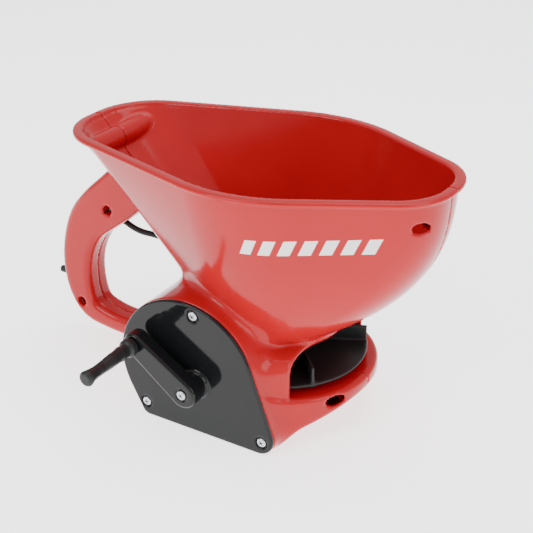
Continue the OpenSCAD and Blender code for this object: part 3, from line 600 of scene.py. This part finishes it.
def tube(name, route, radius, sides):
    """A closed round tube along a smooth run through the route's points (mm)."""
    p = np.array(route, float)
    steps = np.linspace(0, 1, 6, endpoint=False)
    line = np.array([spline_point(p, i, t) for i in range(len(p) - 1) for t in steps] + [p[-1]])
    ahead = np.gradient(line, axis=0)
    ahead /= np.linalg.norm(ahead, axis=1)[:, None]
    u = np.cross(ahead, [0, 1, 0])
    u /= np.linalg.norm(u, axis=1)[:, None]
    v = np.cross(ahead, u)
    a = np.arange(sides) * 2 * math.pi / sides
    rings = line[:, None] + radius * (u[:, None] * np.cos(a)[:, None] + v[:, None] * np.sin(a)[:, None])
    n = len(line)
    points = np.concatenate([rings.reshape(-1, 3), line[[0, -1]]])
    faces = []
    for j in range(n - 1):
        for i in range(sides):
            k = (i + 1) % sides
            faces.append((j * sides + i, (j + 1) * sides + i, (j + 1) * sides + k, j * sides + k))
    for i in range(sides):
        k = (i + 1) % sides
        faces.append((n * sides, i, k))
        faces.append((n * sides + 1, (n - 1) * sides + k, (n - 1) * sides + i))
    return mesh_object(name, points, faces)


# ---- finishes ----


def to_linear(code):
    """An sRGB hex colour as the linear values that a shader takes."""
    values = [int(code[i:i + 2], 16) / 255 for i in (1, 3, 5)]
    return [v / 12.92 if v <= 0.04045 else ((v + 0.055) / 1.055) ** 2.4 for v in values] + [1.0]


def per_metre(millimetres):
    """Texture scale that gives features about this many millimetres across."""
    return 1000 / millimetres


def noise(tree, where, size, detail=2.0, rough=0.5):
    """A 0 to 1 cloud whose features are about size millimetres across."""
    return node(tree, "ShaderNodeTexNoise",
                inputs={"Vector": where, "Scale": per_metre(size), "Detail": detail,
                        "Roughness": rough}).outputs["Fac"]


def spread(tree, value, low, high):
    """Turns a 0 to 1 texture value into one between low and high."""
    return node(tree, "ShaderNodeMapRange", inputs={"Value": value, "From Min": 0.3, "From Max": 0.7,
                                                    "To Min": low, "To Max": high}).outputs["Result"]


def mix(tree, share, a, b):
    """Colour a where share is 0 and b where it is 1."""
    return node(tree, "ShaderNodeMix", {"data_type": "RGBA"}, {0: share, 6: a, 7: b}).outputs[2]


def new_finish(name):
    made = bpy.data.materials.new(name)
    made.use_nodes = True
    tree = made.node_tree
    tree.nodes.clear()
    shader = node(tree, "ShaderNodeBsdfPrincipled")
    node(tree, "ShaderNodeOutputMaterial", inputs={"Surface": shader.outputs[0]})
    where = node(tree, "ShaderNodeTexCoord").outputs["Object"]
    return made, tree, shader, where


def plastic(name, colour, deeper, rough, grain, depth):
    """Moulded plastic: colour drifts a little towards deeper, gloss varies, and a fine grain catches light.
    rough is (low, high); grain and depth are in millimetres."""
    made, tree, shader, where = new_finish(name)
    cloud = noise(tree, where, 70, 2)
    tint = mix(tree, spread(tree, cloud, 0, 0.6), to_linear(colour), to_linear(deeper))
    tree.links.new(tint, shader.inputs["Base Color"])
    tree.links.new(spread(tree, noise(tree, where, 18, 3), *rough), shader.inputs["Roughness"])
    shader.inputs["IOR"].default_value = 1.5
    shader.inputs["Specular IOR Level"].default_value = 0.22
    bump = node(tree, "ShaderNodeBump", inputs={"Strength": 1.0, "Distance": depth * MM,
                                                "Height": noise(tree, where, grain, 2)})
    tree.links.new(bump.outputs[0], shader.inputs["Normal"])
    return made, tree, shader, where, tint


def metal(name, colour, other, rough, grain, depth):
    """Bare or plated metal: two tones of one metal, with fine tool or barrel marks."""
    made, tree, shader, where = new_finish(name)
    tint = mix(tree, spread(tree, noise(tree, where, 5, 3), 0, 1), to_linear(colour), to_linear(other))
    tree.links.new(tint, shader.inputs["Base Color"])
    shader.inputs["Metallic"].default_value = 1.0
    tree.links.new(spread(tree, noise(tree, where, 1.2, 3), *rough), shader.inputs["Roughness"])
    bump = node(tree, "ShaderNodeBump", inputs={"Strength": 1.0, "Distance": depth * MM,
                                                "Height": noise(tree, where, grain, 2)})
    tree.links.new(bump.outputs[0], shader.inputs["Normal"])
    return made


def calc(tree, operation, a, b=0.0):
    return node(tree, "ShaderNodeMath", {"operation": operation}, {0: a, 1: b}).outputs[0]


# the printed row of bars, in millimetres; rise and slant are slopes, and fill is a bar's share of its pitch
BAR_RISE = 0.068
BAR_Z = 160.2
BAR_HEIGHT = 11.0
BAR_SLANT = 0.45
BAR_FIRST_X = 13.0
BAR_PITCH = 12.4
BAR_COUNT = 7
BAR_FILL = 0.62
BAR_INK = "#e8e4e2"


def printed_bars(tree, shader, where, tint):
    """A row of plain slanted bars in white pad-printing ink on the outside of the crank-side flank."""
    place = node(tree, "ShaderNodeSeparateXYZ", inputs={0: where}).outputs
    facing = node(tree, "ShaderNodeSeparateXYZ",
                  inputs={0: node(tree, "ShaderNodeNewGeometry").outputs["Normal"]}).outputs
    height = calc(tree, "ADD", place[2], calc(tree, "MULTIPLY", place[0], -BAR_RISE))
    height = calc(tree, "SUBTRACT", height, BAR_Z * MM)
    in_row = calc(tree, "LESS_THAN", calc(tree, "ABSOLUTE", height), BAR_HEIGHT / 2 * MM)
    along = calc(tree, "SUBTRACT", place[0], calc(tree, "MULTIPLY", height, BAR_SLANT))
    along = calc(tree, "SUBTRACT", along, BAR_FIRST_X * MM)
    bar_share = calc(tree, "FRACT", calc(tree, "DIVIDE", along, BAR_PITCH * MM))
    in_bar = calc(tree, "LESS_THAN", bar_share, BAR_FILL)
    started = calc(tree, "GREATER_THAN", along, 0.0)
    ended = calc(tree, "LESS_THAN", along, BAR_COUNT * BAR_PITCH * MM)
    outside = calc(tree, "LESS_THAN", facing[1], 0.0)
    mask = outside
    for part in (in_row, in_bar, started, ended, calc(tree, "LESS_THAN", place[1], 0.0)):
        mask = calc(tree, "MULTIPLY", mask, part)
    inked = mix(tree, mask, tint, to_linear(BAR_INK))
    tree.links.new(inked, shader.inputs["Base Color"])


# glossy injection-moulded polypropylene, dyed red
RED, red_tree, red_shader, red_where, red_tint = plastic(
    "red_glossy_polypropylene", "#ab161c", "#9a1117", (0.12, 0.18), 9, 0.012)
printed_bars(red_tree, red_shader, red_where, red_tint)
# black glass-filled nylon, moulded glossy: gear cover and crank arm
BLACK_GLOSS = plastic("black_glossy_nylon", "#141516", "#0e0f10", (0.06, 0.11), 7, 0.006)[0]
# black polypropylene with a satin mould texture: disc, knob and lever
BLACK_SATIN = plastic("black_satin_polypropylene", "#191a1b", "#222324", (0.32, 0.42), 0.7, 0.02)[0]
# natural acetal: gears that run dry
NYLON = plastic("natural_acetal", "#ddd9cb", "#d2cdbb", (0.35, 0.5), 1.5, 0.01)[0]
# soft black PVC sleeve of the control cable
SLEEVE = plastic("black_pvc_sleeve", "#18191a", "#1f2021", (0.4, 0.55), 2.5, 0.03)[0]
# bright zinc plating on steel: screws, pins, shafts and wire
ZINC = metal("bright_zinc_plated_steel", "#c9cbd0", "#b4b7bd", (0.2, 0.34), 0.4, 0.006)
# oil-filled sintered bronze: bushes
BRONZE = metal("sintered_bronze", "#a8865a", "#8c6d45", (0.4, 0.55), 0.3, 0.03)

FINISHES = {"red_shell": RED, "black_gloss": BLACK_GLOSS, "black_satin": BLACK_SATIN, "nylon": NYLON,
            "cable_sleeve": SLEEVE, "zinc_steel": ZINC, "sintered_bronze": BRONZE}


def paint(obj, finish):
    obj.data.materials.clear()
    obj.data.materials.append(finish)


for part in frame["record"]["subparts"]:
    paint(frame["nodes"][part["node"]], FINISHES[part["material_slot"]])


# ---- the pieces that stand for CAD nodes ----


def stands_for(obj, cad_node, body, slot):
    paint(obj, FINISHES[slot])
    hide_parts(cad_node)
    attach(obj, body)
    return obj


for label, cad_node, side, low, high in (
        ("crank_side_shell", "right_shell", -1, (-211.0, -100.0, -3.0), (134.0, 2.0, 202.0)),
        ("far_side_shell", "left_shell", 1, (-211.0, -2.0, -3.0), (134.0, 100.0, 202.0))):
    shell = net_object(label, lambda x, y, z: shell_distance(x, y, z, side), low, high, CELL)
    stands_for(shell, cad_node, "frame", "red_shell")

cover = net_object("gear_housing_cover", cover_distance, (-96, -86, -2), (40, -74, 109), 0.9)
stands_for(cover, "gear_cover", "frame", "black_gloss")
arm = net_object("crank_arm_moulding", arm_distance, (-80, -101, 29), (-13, -80, 84), 0.8)
stands_for(arm, "crank_arm", "crank", "black_gloss")
knob = net_object("hand_knob", knob_distance, (-78, -153, 61), (-57, -96, 82), 0.7)
stands_for(knob, "crank_knob", "knob", "black_satin")
disc = net_object("spinning_disc", impeller_distance, (-66, -66, 41), (66, 66, 61), 0.9)
stands_for(disc, "impeller", "impeller", "black_satin")
lever = net_object("flow_lever_tab", lever_distance, (-221, -8, 43), (-180, 8, 62), 0.4)
stands_for(lever, "flow_lever", "lever", "black_satin")
sleeve = tube("cable_sleeve", CABLE_ROUTE, 2.4, 20)
stands_for(sleeve, "control_cable", "frame", "cable_sleeve")

one_screw = net_object("one_screw", screw_distance, (-4.4, -3.2, -4.4), (4.4, 7, 4.4), 0.22)
SHELL_SCREWS = HANDLE_SCREWS + [FRONT_SCREW, DECK_SCREW]
screw_sets = (("cover_screw_heads", "cover_screws", "frame", COVER_SCREWS, -COVER_Y + COVER_POCKET_DEPTH),
              ("shell_screw_heads", "shell_screws", "frame", SHELL_SCREWS, -SCREW_Y),
              ("crank_screw_head", "crank_screw", "crank", [CRANK], -ARM_FRONT + 1))
for label, cad_node, body, centres, seat in screw_sets:
    heads = copies(label, one_screw, [(c[0], seat, c[1]) for c in centres], ZINC, 1.4)
    stands_for(heads, cad_node, body, "zinc_steel")
bpy.data.objects.remove(one_screw)

# ---- floor, light and camera ----

floor_mesh = bpy.data.meshes.new("floor")
floor_mesh.from_pydata([(-4, -4, 0), (4, -4, 0), (4, 4, 0), (-4, 4, 0)], [], [(0, 1, 2, 3)])
floor = bpy.data.objects.new("floor", floor_mesh)
bpy.context.scene.collection.objects.link(floor)
# seamless white studio paper
PAPER, paper_tree, paper_shader, paper_where = new_finish("white_studio_paper")
paper_tree.links.new(mix(paper_tree, spread(paper_tree, noise(paper_tree, paper_where, 300), 0, 1),
                         to_linear("#f7f7f7"), to_linear("#fafafa")), paper_shader.inputs["Base Color"])
paper_shader.inputs["Roughness"].default_value = 0.7
paper_shader.inputs["Emission Color"].default_value = to_linear("#ffffff")
paper_shader.inputs["Emission Strength"].default_value = 1.9
paint(floor, PAPER)

world = bpy.data.worlds.new("studio")
bpy.context.scene.world = world
world.use_nodes = True
world.node_tree.nodes["Background"].inputs["Color"].default_value = to_linear("#ffffff")
world.node_tree.nodes["Background"].inputs["Strength"].default_value = 0.9


def softbox(name, place, target, width, height, watts):
    light = bpy.data.lights.new(name, "AREA")
    light.shape = "RECTANGLE"
    light.size, light.size_y = width, height
    light.energy = watts
    obj = bpy.data.objects.new(name, light)
    obj.location = place
    obj.rotation_euler = (Vector(place) - Vector(target)).to_track_quat("Z", "Y").to_euler()
    bpy.context.scene.collection.objects.link(obj)


MIDDLE = (-0.02, 0.0, 0.1)
softbox("key", (-0.5, -1.3, 1.1), MIDDLE, 0.9, 0.7, 14)
softbox("top", (0.1, 0.3, 1.5), MIDDLE, 1.2, 1.2, 14)
softbox("side", (1.3, -0.3, 0.8), MIDDLE, 0.7, 1.0, 8)

# solved from the photo: the camera's place in millimetres, and its right, up and backward axes
CAMERA_LENS = 72.1
CAMERA_PLACE = (350.2, -605.5, 467.1)
CAMERA_AXES = ((0.8575, 0.5145, -0.0047), (-0.2308, 0.3928, 0.8902), (0.4598, -0.7623, 0.4555))
camera = bpy.data.objects.new("camera", bpy.data.cameras.new("camera"))
camera.data.lens = CAMERA_LENS
camera.data.sensor_width = 36
turn = Matrix(CAMERA_AXES).transposed().to_4x4()
camera.matrix_world = Matrix.Translation(Vector(CAMERA_PLACE) * MM) @ turn
bpy.context.scene.collection.objects.link(camera)
bpy.context.scene.camera = camera
